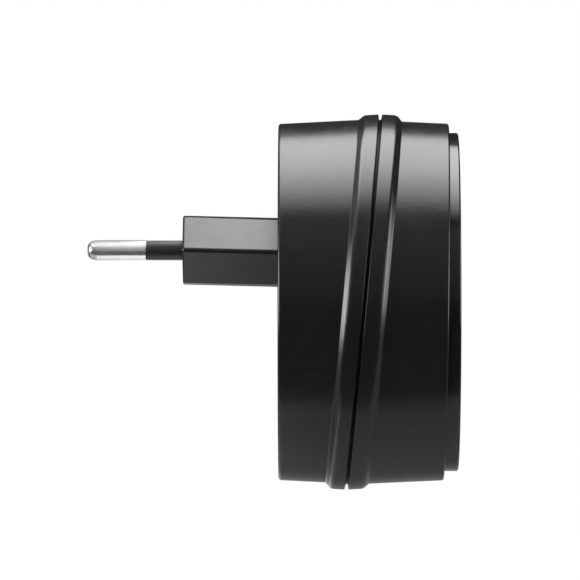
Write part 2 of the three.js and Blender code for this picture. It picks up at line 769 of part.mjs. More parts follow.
const radioShield = () =>
  roundedBox(controlFront + 0.05, controlFront + 2.2, -5.6, 5.6, -15.0, -4.4, 0.6, 0.2);

// A stamped, folded aerial along the board's top edge.
function aerial() {
  const foot = box(control.from - 0.55, control.from - 0.05, -8, 8, -6.4, -3.6);
  const wing = box(control.from - 3.0, control.from - 0.05, -8, 8, -4.1, -3.6);
  return joined(foot, wing);
}

// ---------------------------------------------------------------- fasteners

// A pan-headed screw along X: the head's top faces -X, and a cross is cut in it.
function screw(headRadius, headHeight, shankRadius, length) {
  const body = turned([
    [-headHeight, 0],
    [-headHeight, headRadius - 0.5],
    [-headHeight * 0.55, headRadius],
    [0, headRadius],
    [0, shankRadius],
    [length - 1, shankRadius],
    [length, shankRadius * 0.4],
    [length, 0],
  ], 12);
  const arm = headRadius * 0.6;
  const slots = [
    box(-headHeight - 1, -headHeight * 0.4, -arm, arm, -0.3, 0.3),
    box(-headHeight - 1, -headHeight * 0.4, -0.3, 0.3, -arm, arm),
  ];
  return cut(body, ...slots);
}

// ---------------------------------------------------------------- the assembly

add(caseFrame, "rear_case", rearCase(), material.case);
add(caseFrame, "front_case", frontCase(), material.case);
add(caseFrame, "front_fascia", frontFascia(), material.gloss);
add(caseFrame, "rating_label", ratingLabel(), material.label);

add(smartPlug, "plug_body", plugBody(), material.plugBlack);
add(smartPlug, "pin_retainer", pinRetainer(), material.nylon);
for (const { name, side, place } of pinFrames()) {
  add(smartPlug, `${name}_pin`, place(contactPin()), material.nickel);
  add(smartPlug, `${name}_pin_sleeve`, place(pinSleeve()), material.sleeve);
  add(smartPlug, `${name}_wire`, plugWire(side), name === "live" ? material.wireBrown : material.wireBlue);
  add(smartPlug, `${name}_contact`, socketContact(), material.bronze).position.y = side * contactY;
}

add(smartPlug, "outlet_well", outletWell(), material.case);
add(smartPlug, "shutter_housing", shutterHousing(), material.nylon);
add(smartPlug, "outlet_shutter", outletShutter(), material.nylon);
add(smartPlug, "shutter_spring", shutterSpring(), material.steel);
add(smartPlug, "contact_block", contactBlock(), material.nylon);

add(caseFrame, "power_button", powerButton(), material.gloss).position.z = -button.drop;
add(caseFrame, "light_ring", lightRing(), material.translucent).position.z = -button.drop;
add(caseFrame, "switch_body", switchBody(), material.epoxy).position.z = -button.drop;
add(caseFrame, "switch_plunger", switchPlunger(), material.epoxy).position.z = -button.drop;
for (const [name, side] of [["status_led_left", -1], ["status_led_right", 1]]) {
  const led = add(caseFrame, name, statusLed(), material.translucent);
  led.position.set(0, side * (ring.flangeRadius - 0.5), -button.drop);
}

add(caseFrame, "power_board", powerBoard(), material.laminate);
add(caseFrame, "relay_base", relayBase(), material.epoxy);
add(caseFrame, "relay_case", relayCase(), material.relayBlue);
add(caseFrame, "relay_coil", relayCoil(), material.copper);
add(caseFrame, "relay_armature", relayArmature(), material.steel);
add(caseFrame, "transformer_core", transformerCore(), material.ferrite);
add(caseFrame, "transformer_bobbin", transformerBobbin(), material.epoxy);
add(caseFrame, "transformer_winding", transformerWinding(), material.tape);
add(caseFrame, "bulk_capacitor", electrolytic(4.0, 12.0), material.capacitor).position.set(0, -0.6, -21.8);
add(caseFrame, "output_capacitor", electrolytic(3.15, 11.0), material.capacitor).position.set(0, 8.4, -23.4);
add(caseFrame, "film_capacitor", filmCapacitor(), material.filmYellow).position.set(0, -3.4, -11.1);
add(caseFrame, "varistor", varistor(), material.varistor).position.set(0, 25.2, -9.6);
add(caseFrame, "fuse", fuse(), material.fuse).position.set(0, -24.6, -9.8);
add(caseFrame, "choke", choke(), material.ferrite).position.set(0, 22.6, 4.2);
add(caseFrame, "bridge_rectifier", chip(4.8, 6.4, 2.5), material.epoxy).position.set(0, -22.6, 3.0);
add(caseFrame, "power_chip", chip(4.0, 5.0, 1.6), material.epoxy).position.set(0, 2.8, -11.4);
add(caseFrame, "metering_chip", chip(4.0, 5.0, 1.6), material.epoxy).position.set(0, -21.6, 10.4);
add(caseFrame, "current_shunt", currentShunt(), material.copper).position.set(0, 0, -2.9);

add(caseFrame, "control_board", controlBoard(), material.laminate);
add(caseFrame, "board_header", boardHeader(), material.epoxy);
add(caseFrame, "radio_shield", radioShield(), material.steel);
add(caseFrame, "aerial", aerial(), material.bronze);

posts.forEach(({ y, z }, i) =>
  add(caseFrame, `case_screw_${i + 1}`, screw(2.2, 1.9, 1.15, 14), material.steel).position.set(6.95, y, z),
);
boardScrews.forEach(({ y, z }, i) =>
  add(caseFrame, `board_screw_${i + 1}`, screw(1.9, 1.3, 0.95, 5), material.steel)
    .rotateZ(Math.PI).position.set(boardFront + 0.1, y, z),
);
controlScrews.forEach(({ y, z }, i) =>
  add(caseFrame, `control_screw_${i + 1}`, screw(1.8, 1.2, 0.9, 4.4), material.steel)
    .position.set(control.from - 0.1, y, z),
);

export default smartPlug;
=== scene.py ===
import json
import math

import bmesh
import bpy
from mathutils import Matrix, Vector


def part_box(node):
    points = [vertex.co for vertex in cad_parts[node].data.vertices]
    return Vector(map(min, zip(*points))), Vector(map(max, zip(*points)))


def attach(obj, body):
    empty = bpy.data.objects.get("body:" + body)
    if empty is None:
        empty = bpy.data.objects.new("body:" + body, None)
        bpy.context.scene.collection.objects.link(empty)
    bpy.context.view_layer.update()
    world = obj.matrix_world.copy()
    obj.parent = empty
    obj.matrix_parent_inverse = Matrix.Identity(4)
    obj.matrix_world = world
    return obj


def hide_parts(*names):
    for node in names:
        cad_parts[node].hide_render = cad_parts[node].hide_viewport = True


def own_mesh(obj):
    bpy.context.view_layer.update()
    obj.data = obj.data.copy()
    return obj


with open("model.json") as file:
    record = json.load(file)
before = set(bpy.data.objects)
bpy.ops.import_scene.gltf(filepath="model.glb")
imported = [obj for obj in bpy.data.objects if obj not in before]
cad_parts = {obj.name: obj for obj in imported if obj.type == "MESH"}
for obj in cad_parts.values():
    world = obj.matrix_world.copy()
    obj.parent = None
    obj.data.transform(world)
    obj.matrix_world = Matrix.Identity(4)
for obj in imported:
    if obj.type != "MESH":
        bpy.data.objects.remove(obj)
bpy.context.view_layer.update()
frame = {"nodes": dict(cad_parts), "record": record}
nodes = frame["nodes"]
MM = 0.001

# ------------------------------------------------------------------ places, in millimetres, from the frame

back_lo, back_hi = (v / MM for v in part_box("rear_case"))
_, fascia_hi = (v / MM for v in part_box("front_fascia"))
ring_lo, ring_hi = (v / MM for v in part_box("light_ring"))
well_lo, _ = (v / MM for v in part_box("outlet_well"))

BACK = back_lo.x                # the case's back face
AXIS = (back_lo.z + back_hi.z) / 2
CROWN = (back_hi.z - back_lo.z) / 2     # radius of the two collars beside the groove
FRONT = fascia_hi.x             # the fascia's highest point
BUTTON = (ring_lo.z + ring_hi.z) / 2
WELL_WALL = 1.8                 # thickness of the outlet's floor
WELL_FLOOR = well_lo.x + WELL_WALL

PARTING = BACK + 16.96          # where the parting plane crosses the case's axis
SLOPE = math.tan(math.radians(5.2))
BACK_R, BACK_DRAFT = 35.6, 0.0505
FRONT_R, FRONT_DRAFT = 35.65, 0.0454
RIM, RIM_LEAN = BACK + 33.47, 0.153
COLLAR_R = CROWN - 0.16         # each collar is a little lower at its shoulder than at the groove
SHOULDER = (COLLAR_R, 1.6, 10)  # its radius from the axis, its rounding and its steps
REAR_COLLAR, FRONT_COLLAR = 3.2, 3.38   # from the parting plane to each shoulder
REAR_FOOT, FRONT_FOOT = 4.26, 4.38      # from the parting plane to where each shoulder meets its drum
GROOVE_MOUTH = 0.39             # half its width
LIP_REACH, LAP_REACH = 2.4, 2.8         # how far the lip, and the bore over it, go past the plane
LIP_R = 36.2                    # the rear half's lip, which runs on under the front half
GROOVE_R = LIP_R + 0.3          # the groove's floor at its sides, and the front half's bore over the lip
REAR_BORE, LIP_BORE, FRONT_BORE = 33.5, 34.7, 34.0      # inside radii of the halves and of the lip
BACK_WALL = BACK + 2.4          # inside of the back
PLATE = (BACK + 30.7, BACK + 32.5)                      # the wall behind the fascia
FASCIA_R = 33.8
FASCIA_BACK = BACK + 32.8
FASCIA_SKIRT_R = 32.2           # inside of the band round the fascia's back
FASCIA_GAP = 0.3                # between the fascia and the rim round it
DOME = 0.25                     # how far the fascia's edge lies behind its middle
DOME_RINGS = 14
HOOK_ANGLES = (0, 88, 152, 208, 272)
PITCH = 19.0                    # between the pins, at their roots
HALF_PITCH = PITCH / 2
LEAN = math.atan(0.7 / PITCH)   # how far each pin leans inwards
PLUG_FALL = 0.45                # how far the plug comes down from its front to its seat
EASE, EASE_STEPS = 0.42, 6      # rounding of the plug's end
PIN_R = 2.0
SLEEVE_R = 1.92
PIN_CORE = 1.35                 # the pin's radius under its sleeve
PIN_SHOULDER = -7.3             # where the pin narrows for its sleeve; the plug's end face is at 0
WELL_HOLE = 2.3                 # how far the holes round the outlet are grown from the flat outline

# The flat two-pole outline: half its flat's length and height, and half its length over the points.
FLAT_Y, FLAT_Z, POINT_Y = 11.13, 6.85, 17.98
NOSE_R, CORNER_R, SMALLEST_R = 0.8, 0.4, 0.05
FLAT_GROWTH, POINT_GROWTH = 0.4142, 1.4142              # for each millimetre that its sides move out
BEVEL_FROM = 9.6                # where the plug's sloping margins leave its wide faces

# The fixings: where their posts stand, as (y, z), and the case screws' counterbores.
POST_CIRCLE = 30.3
POST_ANGLES = (48, 130, 230, 312)
POSTS = [
    (POST_CIRCLE * math.sin(math.radians(a)), AXIS + POST_CIRCLE * math.cos(math.radians(a)))
    for a in POST_ANGLES
]
BOARD_POSTS = [(y, AXIS - 3.5) for y in (-27.2, 27.2)]
CONTROL_POSTS = [(y, AXIS - 6.4) for y in (-10.6, 10.6)]
COUNTERBORE_R, COUNTERBORE_FLOOR = 2.6, BACK + 7.1

TURN = 288                      # facets round the case
SHARP = 33                      # edges turning by more degrees than this stay sharp
CAD_SHARP = 35                  # the same for the pieces that keep their CAD meshes

# ------------------------------------------------------------------ mesh helpers


def new_object(name, verts, faces):
    """A mesh object from points in millimetres."""
    mesh = bpy.data.meshes.new(name)
    mesh.from_pydata([Vector(v) * MM for v in verts], [], faces)
    mesh.validate()
    obj = bpy.data.objects.new(name, mesh)
    bpy.context.scene.collection.objects.link(obj)
    return obj


def fillet(corners, closed=False):
    """Rounds the corners of a polyline. Each corner is (a, b, radius, steps); returns (a, b) points."""
    out = []
    n = len(corners)
    for i, (a, b, radius, steps) in enumerate(corners):
        here = Vector((a, b))
        if radius <= 0 or (not closed and i in (0, n - 1)):
            out.append((a, b))
            continue
        before = Vector(corners[i - 1][:2]) - here
        after = Vector(corners[(i + 1) % n][:2]) - here
        d0, d1 = before.normalized(), after.normalized()
        half = math.acos(max(-1, min(1, d0.dot(d1)))) / 2
        reach = min(radius / math.tan(half), before.length * 0.49, after.length * 0.49)
        r = reach * math.tan(half)
        centre = here + (d0 + d1).normalized() * (r / math.sin(half))
        p0, p1 = here + d0 * reach, here + d1 * reach
        a0 = math.atan2(*(p0 - centre).yx)
        turn = math.atan2(*(p1 - centre).yx) - a0
        turn = (turn + math.pi) % (2 * math.pi) - math.pi
        for k in range(steps + 1):
            t = a0 + turn * k / steps
            out.append((centre.x + r * math.cos(t), centre.y + r * math.sin(t)))
    return out


def stitch(rings):
    """Faces between successive closed rings of the same length. Rings are lists of vertex numbers."""
    faces = []
    for r0, r1 in zip(rings, rings[1:]):
        n = len(r0)
        for j in range(n):
            k = (j + 1) % n
            faces.append((r0[j], r0[k], r1[k], r1[j]))
    return faces


def outward(obj):
    """Joins the vertices that meet, and turns the faces to point out of the closed mesh."""
    bm = bmesh.new()
    bm.from_mesh(obj.data)
    bmesh.ops.remove_doubles(bm, verts=bm.verts, dist=1e-7)
    bmesh.ops.recalc_face_normals(bm, faces=bm.faces)
    bm.to_mesh(obj.data)
    bm.free()
    return obj


def revolve(name, profile_at, axis=(0, 0), segments=64, loop=False):
    """A body of revolution about X. profile_at(angle) gives its [(x, radius)] at that angle, where 0 is up.

    An open profile starts and ends on the axis, and a loop closes on itself.
    """
    y0, z0 = axis
    verts, columns = [], []
    first = profile_at(0.0)
    for s in range(segments):
        a = 2 * math.pi * s / segments
        column = []
        for x, r in profile_at(a):
            column.append(len(verts))
            verts.append((x, y0 + r * math.sin(a), z0 + r * math.cos(a)))
        columns.append(column)
    faces = []
    n = len(first)
    for s in range(segments):
        c0, c1 = columns[s], columns[(s + 1) % segments]
        for i in range(n if loop else n - 1):
            k = (i + 1) % n
            on_axis_i, on_axis_k = first[i][1] < 1e-9, first[k][1] < 1e-9
            if on_axis_i and on_axis_k:
                continue
            if on_axis_i:
                faces.append((c0[i], c0[k], c1[k]))
            elif on_axis_k:
                faces.append((c0[i], c0[k], c1[i]))
            else:
                faces.append((c0[i], c0[k], c1[k], c1[i]))
    return outward(new_object(name, verts, faces))


def turned(name, corners, axis=(0, 0), segments=64, loop=False):
    """A plain turned piece from rounded corners (x, radius, fillet, steps)."""
    points = fillet(corners, closed=loop)
    return revolve(name, lambda a: points, axis, segments, loop)


def rod(name, start, end, axis, segments=32):
    """A round or tapered rod along X between two ends, each given as (x, radius, rounding)."""
    (x0, r0, edge0), (x1, r1, edge1) = start, end
    corners = [(x0, 0, 0, 0), (x0, r0, edge0, 2), (x1, r1, edge1, 2), (x1, 0, 0, 0)]
    return turned(name, corners, axis, segments)


def loft(name, sections):
    """A closed body through outlines. Each section is (x, [(y, z), ...]) with the same number of points."""
    verts, rings = [], []
    for x, outline in sections:
        rings.append(list(range(len(verts), len(verts) + len(outline))))
        verts += [(x, y, z) for y, z in outline]
    faces = stitch(rings) + [tuple(rings[0]), tuple(reversed(rings[-1]))]
    return outward(new_object(name, verts, faces))


def hexagon(grow=0.0):
    """The outlet's outline: the flat two-pole plug's, grown on every side."""
    y, z = FLAT_Y + FLAT_GROWTH * grow, FLAT_Z + grow
    point = POINT_Y + POINT_GROWTH * grow
    nose, corner = max(NOSE_R + grow, SMALLEST_R), max(CORNER_R + grow, SMALLEST_R)
    corners = [
        (y, -z, corner, 5), (point, 0, nose, 10), (y, z, corner, 5),
        (-y, z, corner, 5), (-point, 0, nose, 10), (-y, -z, corner, 5),
    ]
    return fillet(corners, closed=True)


def plug_outline(x, grow=0.0):
    """The plug's outline at x. Its wide faces have sloping margins, and it comes down towards the case."""
    along = max(x - 1.0, 0.0) / (BACK - 0.7)
    margin = 0.33 + 0.17 * along
    flat, edge = FLAT_Z + grow, FLAT_Z - margin + grow
    side = FLAT_Y + margin + FLAT_GROWTH * grow
    point = POINT_Y + POINT_GROWTH * grow
    nose, corner = max(NOSE_R + grow, SMALLEST_R), max(CORNER_R + grow, SMALLEST_R)
    corners = [
        (side, -edge, corner, 5), (point, 0, nose, 10), (side, edge, corner, 5),
        (BEVEL_FROM, flat, 2.5, 4), (-BEVEL_FROM, flat, 2.5, 4),
        (-side, edge, corner, 5), (-point, 0, nose, 10), (-side, -edge, corner, 5),
        (-BEVEL_FROM, -flat, 2.5, 4), (BEVEL_FROM, -flat, 2.5, 4),
    ]
    return [(y, z - PLUG_FALL * along) for y, z in fillet(corners, closed=True)]


def rectangle(y0, y1, z0, z1, radius, inset=0.0):
    """A rectangle with rounded corners, drawn in by the inset on every side."""
    y0, y1, z0, z1 = y0 + inset, y1 - inset, z0 + inset, z1 - inset
    r = max(radius - inset, 0.02)
    corners = [(y1, z0, r, 6), (y1, z1, r, 6), (y0, z1, r, 6), (y0, z0, r, 6)]
    return fillet(corners, closed=True)


def edged(name, x0, x1, outline_at, edge0=0.0, edge1=0.0, steps=4):
    """A prism from x0 to x1 whose ends are rounded. outline_at(inset) gives its outline."""
    sections = []
    for x, edge, sign in ((x0, edge0, 1), (x1, edge1, -1)):
        part = []
        if edge:
            for k in range(steps + 1):
                t = math.pi / 2 * k / steps
                part.append((x + sign * edge * (1 - math.sin(t)), outline_at(edge * (1 - math.cos(t)))))
            part.reverse()
        else:
            part.append((x, outline_at(0.0)))
        sections += part if sign > 0 else reversed(part)
    return loft(name, sections)


def evaluated(obj, kind, **settings):
    """The mesh that obj has once a modifier of this kind is applied."""
    m = obj.modifiers.new(kind.lower(), kind)
    for key, value in settings.items():
        setattr(m, key, value)
    dg = bpy.context.evaluated_depsgraph_get()
    mesh = bpy.data.meshes.new_from_object(obj.evaluated_get(dg))
    obj.modifiers.clear()
    return mesh


def carve(obj, cutters, operation="DIFFERENCE"):
    """Cuts the cutters from obj, or joins them to it, and removes them."""
    for cutter in cutters:
        old = obj.data
        obj.data = evaluated(obj, "BOOLEAN", operation=operation, solver="MANIFOLD", object=cutter)
        bpy.data.meshes.remove(old)
        bpy.data.objects.remove(cutter)
    return obj


def moved(obj, matrix):
    """Moves the mesh itself, in metres, so that the object's origin stays at the frame's."""
    obj.data.transform(matrix)
    return obj


def piece(obj, look, replaced, body="case"):
    """Finishes a visible piece: smooth shading, material, body, and the CAD nodes that it stands for."""
    mesh = obj.data
    mesh.materials.clear()
    mesh.materials.append(look)
    for polygon in mesh.polygons:
        polygon.use_smooth = True
        polygon.material_index = 0
    mesh.set_sharp_from_angle(angle=math.radians(SHARP))
    obj.data = evaluated(obj, "WEIGHTED_NORMAL", weight=80, keep_sharp=True)
    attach(obj, body)
    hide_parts(*replaced)
    return obj


# ------------------------------------------------------------------ materials


class Look:
    """A small helper round a node-based Principled material."""

    def __init__(self, name):
        self.material = bpy.data.materials.new(name)
        self.material.use_nodes = True
        self.tree = self.material.node_tree
        self.shader = self.tree.nodes["Principled BSDF"]
        self.place = self.node("ShaderNodeTexCoord").outputs["Object"]

    def node(self, kind, **settings):
        n = self.tree.nodes.new(kind)
        for key, value in settings.items():
            setattr(n, key, value)
        return n

    def link(self, a, b):
        self.tree.links.new(a, b)

    def noise(self, size_mm, detail=2.0, rough=0.5, stretch=(1, 1, 1)):
        source = self.place
        if stretch != (1, 1, 1):
            mapping = self.node("ShaderNodeMapping")
            mapping.inputs["Scale"].default_value = stretch
            self.link(source, mapping.inputs["Vector"])
            source = mapping.outputs["Vector"]
        n = self.node("ShaderNodeTexNoise")
        n.inputs["Scale"].default_value = 1.0 / (size_mm * MM)
        n.inputs["Detail"].default_value = detail
        n.inputs["Roughness"].default_value = rough
        self.link(source, n.inputs["Vector"])
        return n.outputs["Fac"]

    def cells(self, size_mm):
        n = self.node("ShaderNodeTexVoronoi", feature="F1")
        n.inputs["Scale"].default_value = 1.0 / (size_mm * MM)
        self.link(self.place, n.inputs["Vector"])
        return n.outputs["Distance"]

    def spread(self, value, low, high, start=0.3, end=0.7):
        m = self.node("ShaderNodeMapRange")
        m.inputs["From Min"].default_value, m.inputs["From Max"].default_value = start, end
        m.inputs["To Min"].default_value, m.inputs["To Max"].default_value = low, high
        self.link(value, m.inputs["Value"])
        return m.outputs["Result"]

    def mixed(self, value, colour_a, colour_b):
        m = self.node("ShaderNodeMix", data_type="RGBA")
        self.link(value, m.inputs["Factor"])
        m.inputs["A"].default_value = (*colour_a, 1)
        m.inputs["B"].default_value = (*colour_b, 1)
        return m.outputs["Result"]

    def sum(self, a, b):
        m = self.node("ShaderNodeMath", operation="ADD")
        self.link(a, m.inputs[0])
        self.link(b, m.inputs[1])
        return m.outputs[0]

    def colour(self, source):
        self.link(source, self.shader.inputs["Base Color"])

    def roughness(self, source):
        self.link(source, self.shader.inputs["Roughness"])

    def bump(self, height, depth_mm):
        b = self.node("ShaderNodeBump")
        b.inputs["Distance"].default_value = depth_mm * MM
        b.inputs["Strength"].default_value = 1.0
        self.link(height, b.inputs["Height"])
        self.link(b.outputs["Normal"], self.shader.inputs["Normal"])

    def set(self, **values):
        for key, value in values.items():
            self.shader.inputs[key.replace("_", " ")].default_value = value
        return self


def moulded(name, dark, light, rough, grain_mm, depth_mm, fine_mm=0.07, speck=0.5, shine=0.5):
    """Moulded plastic: fine grain, and a gloss that varies slowly over it and in small specks."""
    look = Look(name)
    slow = look.noise(6.0, 3.0)
    grain = look.noise(grain_mm, 2.0, 0.55)
    fine = look.noise(fine_mm, 1.0)
    look.colour(look.mixed(look.spread(grain, 0, 1), dark, light))
    wear = look.spread(slow, -0.03, 0.03)
    tooth = look.spread(fine, rough - 0.05 * speck, rough + 0.06 * speck)
    look.roughness(look.sum(tooth, wear))
    look.bump(look.sum(look.spread(grain, 0, 1, 0.2, 0.8), look.spread(fine, 0, 0.35, 0.2, 0.8)), depth_mm)
    return look.set(IOR=1.5, Specular_IOR_Level=shine).material


def metal(name, dark, light, rough, stretch=(1, 1, 1), depth_mm=0.002, size_mm=0.5, pure=1.0, uneven=1.0):
    """Bright metal with drawing or turning marks and a little tarnish."""
    look = Look(name)
    marks = look.noise(size_mm, 3.0, 0.6, stretch)
    cloud = look.noise(2.5, 3.0)
    look.colour(look.mixed(look.spread(cloud, 0, 1), dark, light))
    tooth = look.spread(marks, rough - 0.05 * uneven, rough + 0.08 * uneven)
    look.roughness(look.sum(tooth, look.spread(cloud, -0.02 * uneven, 0.03 * uneven)))
    look.bump(marks, depth_mm)
    return look.set(Metallic=pure).material


def coated(name, dark, light, rough, size_mm=1.2, depth_mm=0.01, coat=0.0):
    """Painted, dipped, taped or sleeved surfaces on the parts inside."""
    look = Look(name)
    cloud = look.noise(size_mm, 3.0)
    fine = look.noise(0.12, 2.0)
    look.colour(look.mixed(look.spread(cloud, 0, 1), dark, light))
    look.roughness(look.sum(look.spread(fine, rough - 0.05, rough + 0.07), look.spread(cloud, -0.02, 0.02)))
    look.bump(look.sum(look.spread(cloud, 0, 0.7, 0.2, 0.8), look.spread(fine, 0, 0.3, 0.2, 0.8)), depth_mm)
    return look.set(Coat_Weight=coat, Coat_Roughness=0.12).material


def laminate(name):
    """Glass-epoxy board under solder mask, with a faint weave and the copper pours' outlines."""
    look = Look(name)
    pours = look.cells(5.0)
    weave = look.noise(0.35, 1.0, 0.5, (1, 1, 3))
    look.colour(look.mixed(look.spread(pours, 0, 1, 0.35, 0.42), (0.012, 0.10, 0.035), (0.006, 0.055, 0.02)))
    look.roughness(look.spread(weave, 0.28, 0.42))
    look.bump(look.sum(look.spread(pours, 1, 0, 0.35, 0.42), look.spread(weave, 0, 0.2)), 0.03)
    return look.material


def wound(name):
    """Enamelled wire wound in close turns."""
    look = Look(name)
    wave = look.node("ShaderNodeTexWave", wave_type="BANDS", bands_direction="X")
    wave.inputs["Scale"].default_value = 1.0 / (0.9 * MM)
    wave.inputs["Distortion"].default_value = 0.4
    look.link(look.place, wave.inputs["Vector"])
    cloud = look.noise(1.5, 2.0)
    look.colour(look.mixed(look.spread(cloud, 0, 1), (0.36, 0.12, 0.04), (0.52, 0.2, 0.07)))
    look.roughness(look.spread(wave.outputs["Fac"], 0.45, 0.25, 0.0, 1.0))
    look.bump(wave.outputs["Fac"], 0.06)
    return look.set(Metallic=0.8).material


looks = {
    "case": moulded("case_plastic", (0.0062, 0.0062, 0.0066), (0.0090, 0.0090, 0.0095), 0.22, 0.8, 0.010),
    "fascia": moulded("fascia_plastic", (0.006, 0.006, 0.0065), (0.0085, 0.0085, 0.009), 0.15, 0.6, 0.0015,
                      0.1, 0.4, shine=0.6),
    "plug": moulded("plug_plastic", (0.008, 0.008, 0.0083), (0.012, 0.012, 0.0124), 0.28, 0.28, 0.005,
                    shine=0.57),
    "sleeve": moulded("sleeve_plastic", (0.010, 0.010, 0.011), (0.017, 0.017, 0.018), 0.38, 0.2, 0.004),
    "well": moulded("well_plastic", (0.010, 0.010, 0.0105), (0.016, 0.016, 0.0165), 0.36, 0.3, 0.006),
    "nylon": moulded("nylon", (0.60, 0.58, 0.52), (0.68, 0.66, 0.60), 0.48, 0.5, 0.01),
    "light": moulded("diffuser", (0.78, 0.80, 0.80), (0.86, 0.88, 0.88), 0.32, 0.5, 0.004),
    "label": moulded("blank_plate", (0.16, 0.165, 0.165), (0.22, 0.225, 0.225), 0.42, 0.25, 0.006),
    "epoxy": moulded("moulded_black", (0.010, 0.010, 0.010), (0.022, 0.022, 0.022), 0.5, 0.18, 0.012),
    "nickel": metal("nickel_plate", (0.74, 0.73, 0.71), (0.84, 0.83, 0.81), 0.2, (1, 0.3, 0.3), 0.00002, 1.5,
                    0.88, 0.12),
    "bronze": metal("phosphor_bronze", (0.50, 0.28, 0.10), (0.66, 0.40, 0.18), 0.34, (0.2, 1, 1)),
    "steel": metal("zinc_plate", (0.42, 0.43, 0.44), (0.58, 0.59, 0.60), 0.36, (1, 0.3, 0.3)),
    "laminate": laminate("board_laminate"),
    "relay_blue": coated("relay_blue", (0.012, 0.07, 0.30), (0.016, 0.09, 0.36), 0.32, 0.5, 0.006),
    "copper": wound("copper_winding"),
    "ferrite": coated("ferrite", (0.020, 0.020, 0.021), (0.045, 0.044, 0.044), 0.62, 0.25, 0.02),
    "tape": coated("polyester_tape", (0.55, 0.40, 0.03), (0.68, 0.50, 0.05), 0.25, 1.5, 0.03, 0.4),
    "capacitor": coated("capacitor_sleeve", (0.008, 0.010, 0.03), (0.014, 0.017, 0.045), 0.3, 1.0, 0.01, 0.3),
    "film": coated("film_capacitor_box", (0.50, 0.36, 0.04), (0.60, 0.43, 0.06), 0.36, 0.6, 0.006),
    "varistor": coated("varistor_coat", (0.02, 0.12, 0.38), (0.03, 0.16, 0.46), 0.28, 1.6, 0.04, 0.3),
    "fuse": coated("fuse_cap", (0.055, 0.028, 0.016), (0.085, 0.042, 0.024), 0.34, 0.8, 0.008),
    "wire_brown": coated("wire_brown", (0.07, 0.03, 0.015), (0.11, 0.045, 0.022), 0.45, 0.8, 0.01),
    "wire_blue": coated("wire_blue", (0.012, 0.10, 0.34), (0.018, 0.13, 0.42), 0.45, 0.8, 0.01),
}

# Every CAD node starts with its slot's material. The ones built again below are hidden.
slot_of = {s["node"]: s["material_slot"] for s in frame["record"]["subparts"]}
for name, node in nodes.items():
    node.data.materials.clear()
    node.data.materials.append(looks[slot_of[name]])
    node.data.set_sharp_from_angle(angle=math.radians(CAD_SHARP))

# ------------------------------------------------------------------ the case


def parting_at(radius, angle):
    """The parting plane's x at a radius from the case's axis. It leans, so its x changes round the case."""
    return PARTING + SLOPE * radius * math.cos(angle)


def rear_profile(angle):
    """Outside from the axis at the back, over the collar, and back along the inside."""
    foot_x = parting_at(36.3, angle) - REAR_FOOT
    foot_r = BACK_R + BACK_DRAFT * (foot_x - BACK)
    mouth_x, shoulder_x = parting_at(37.5, angle), parting_at(37.4, angle)
    floor_x, lip_x = parting_at(GROOVE_R, angle), parting_at(LIP_R, angle)
    return fillet([
        (BACK, 0, 0, 0),
        (BACK, BACK_R, 0.6, 6),
        (foot_x, foot_r, 0.45, 6),
        (shoulder_x - REAR_COLLAR, *SHOULDER),
        (mouth_x - GROOVE_MOUTH, CROWN, 0.14, 4),
        (floor_x - 0.20, GROOVE_R, 0, 0),
        (parting_at(36.4, angle), LIP_R + 0.16, 0, 0),
        (floor_x + 0.18, GROOVE_R, 0, 0),
        (lip_x + 0.20, LIP_R, 0, 0),
        (lip_x + LIP_REACH, LIP_R, 0.2, 2),
        (parting_at(LIP_BORE, angle) + LIP_REACH, LIP_BORE, 0.2, 2),
        (BACK_WALL, REAR_BORE, 0.8, 4),
        (BACK_WALL, 0, 0, 0),
    ])


def front_profile(angle):
    """A closed loop: over the collar and the drum to the rim, then the fascia's pocket and the inside."""
    foot_x = parting_at(36.3, angle) + FRONT_FOOT
    rim_x = RIM + RIM_LEAN * SLOPE * FRONT_R * math.cos(angle)
    foot_r = FRONT_R + FRONT_DRAFT * (rim_x - foot_x)
    mouth_x, shoulder_x = parting_at(37.5, angle), parting_at(37.4, angle)
    floor_x = parting_at(GROOVE_R, angle)
    plate_back, plate_front = PLATE
    pocket_r, plate_r = FASCIA_R + FASCIA_GAP, 31.5
    return fillet([
        (floor_x + 0.22, GROOVE_R, 0, 0),
        (mouth_x + GROOVE_MOUTH, CROWN, 0.14, 4),
        (shoulder_x + FRONT_COLLAR, *SHOULDER),
        (foot_x, foot_r, 0.45, 6),
        (rim_x, FRONT_R, 0.42, 6),
        (rim_x, pocket_r, 0.12, 3),
        (plate_front, pocket_r, 0.2, 2),
        (plate_front, plate_r, 0, 0),
        (plate_back, plate_r, 0, 0),
        (plate_back, FRONT_BORE, 0.3, 2),
        (parting_at(FRONT_BORE, angle) + LAP_REACH, FRONT_BORE, 0.2, 2),
        (floor_x + LAP_REACH, GROOVE_R, 0.2, 2),
    ], closed=True)


rear = revolve("rear_shell", rear_profile, (0, AXIS), TURN)

bosses = [rod("boss", (BACK + 1, 3.5, 0), (BACK + 11.1, 3.3, 0.3), post) for post in POSTS]
standoffs = [rod("standoff", (BACK + 1, 2.7, 0), (BACK + 5.95, 2.5, 0.2), post) for post in BOARD_POSTS]
carve(rear, bosses + standoffs, "UNION")
board_pilots = [rod("pilot", (BACK + 2, 1.15, 0), (BACK + 7, 1.15, 0), post, 24) for post in BOARD_POSTS]
counterbores = [
    turned("counterbore", [
        (BACK - 2, 0, 0, 0), (BACK - 2, 3.1, 0, 0), (BACK - 0.001, 3.1, 0, 0),
        (BACK + 0.32, COUNTERBORE_R, 0.25, 3), (COUNTERBORE_FLOOR, COUNTERBORE_R, 0.2, 2),
        (COUNTERBORE_FLOOR, 1.5, 0, 0), (BACK + 12, 1.5, 0, 0), (BACK + 12, 0, 0, 0),
    ], post, 48)
    for post in POSTS
]
recess = edged(
    "recess", BACK - 2, BACK + 0.35,
    lambda inset: rectangle(-13.2, 13.2, AXIS - 28.2, AXIS - 10.8, 1.8, inset), 0, 0.12,
)
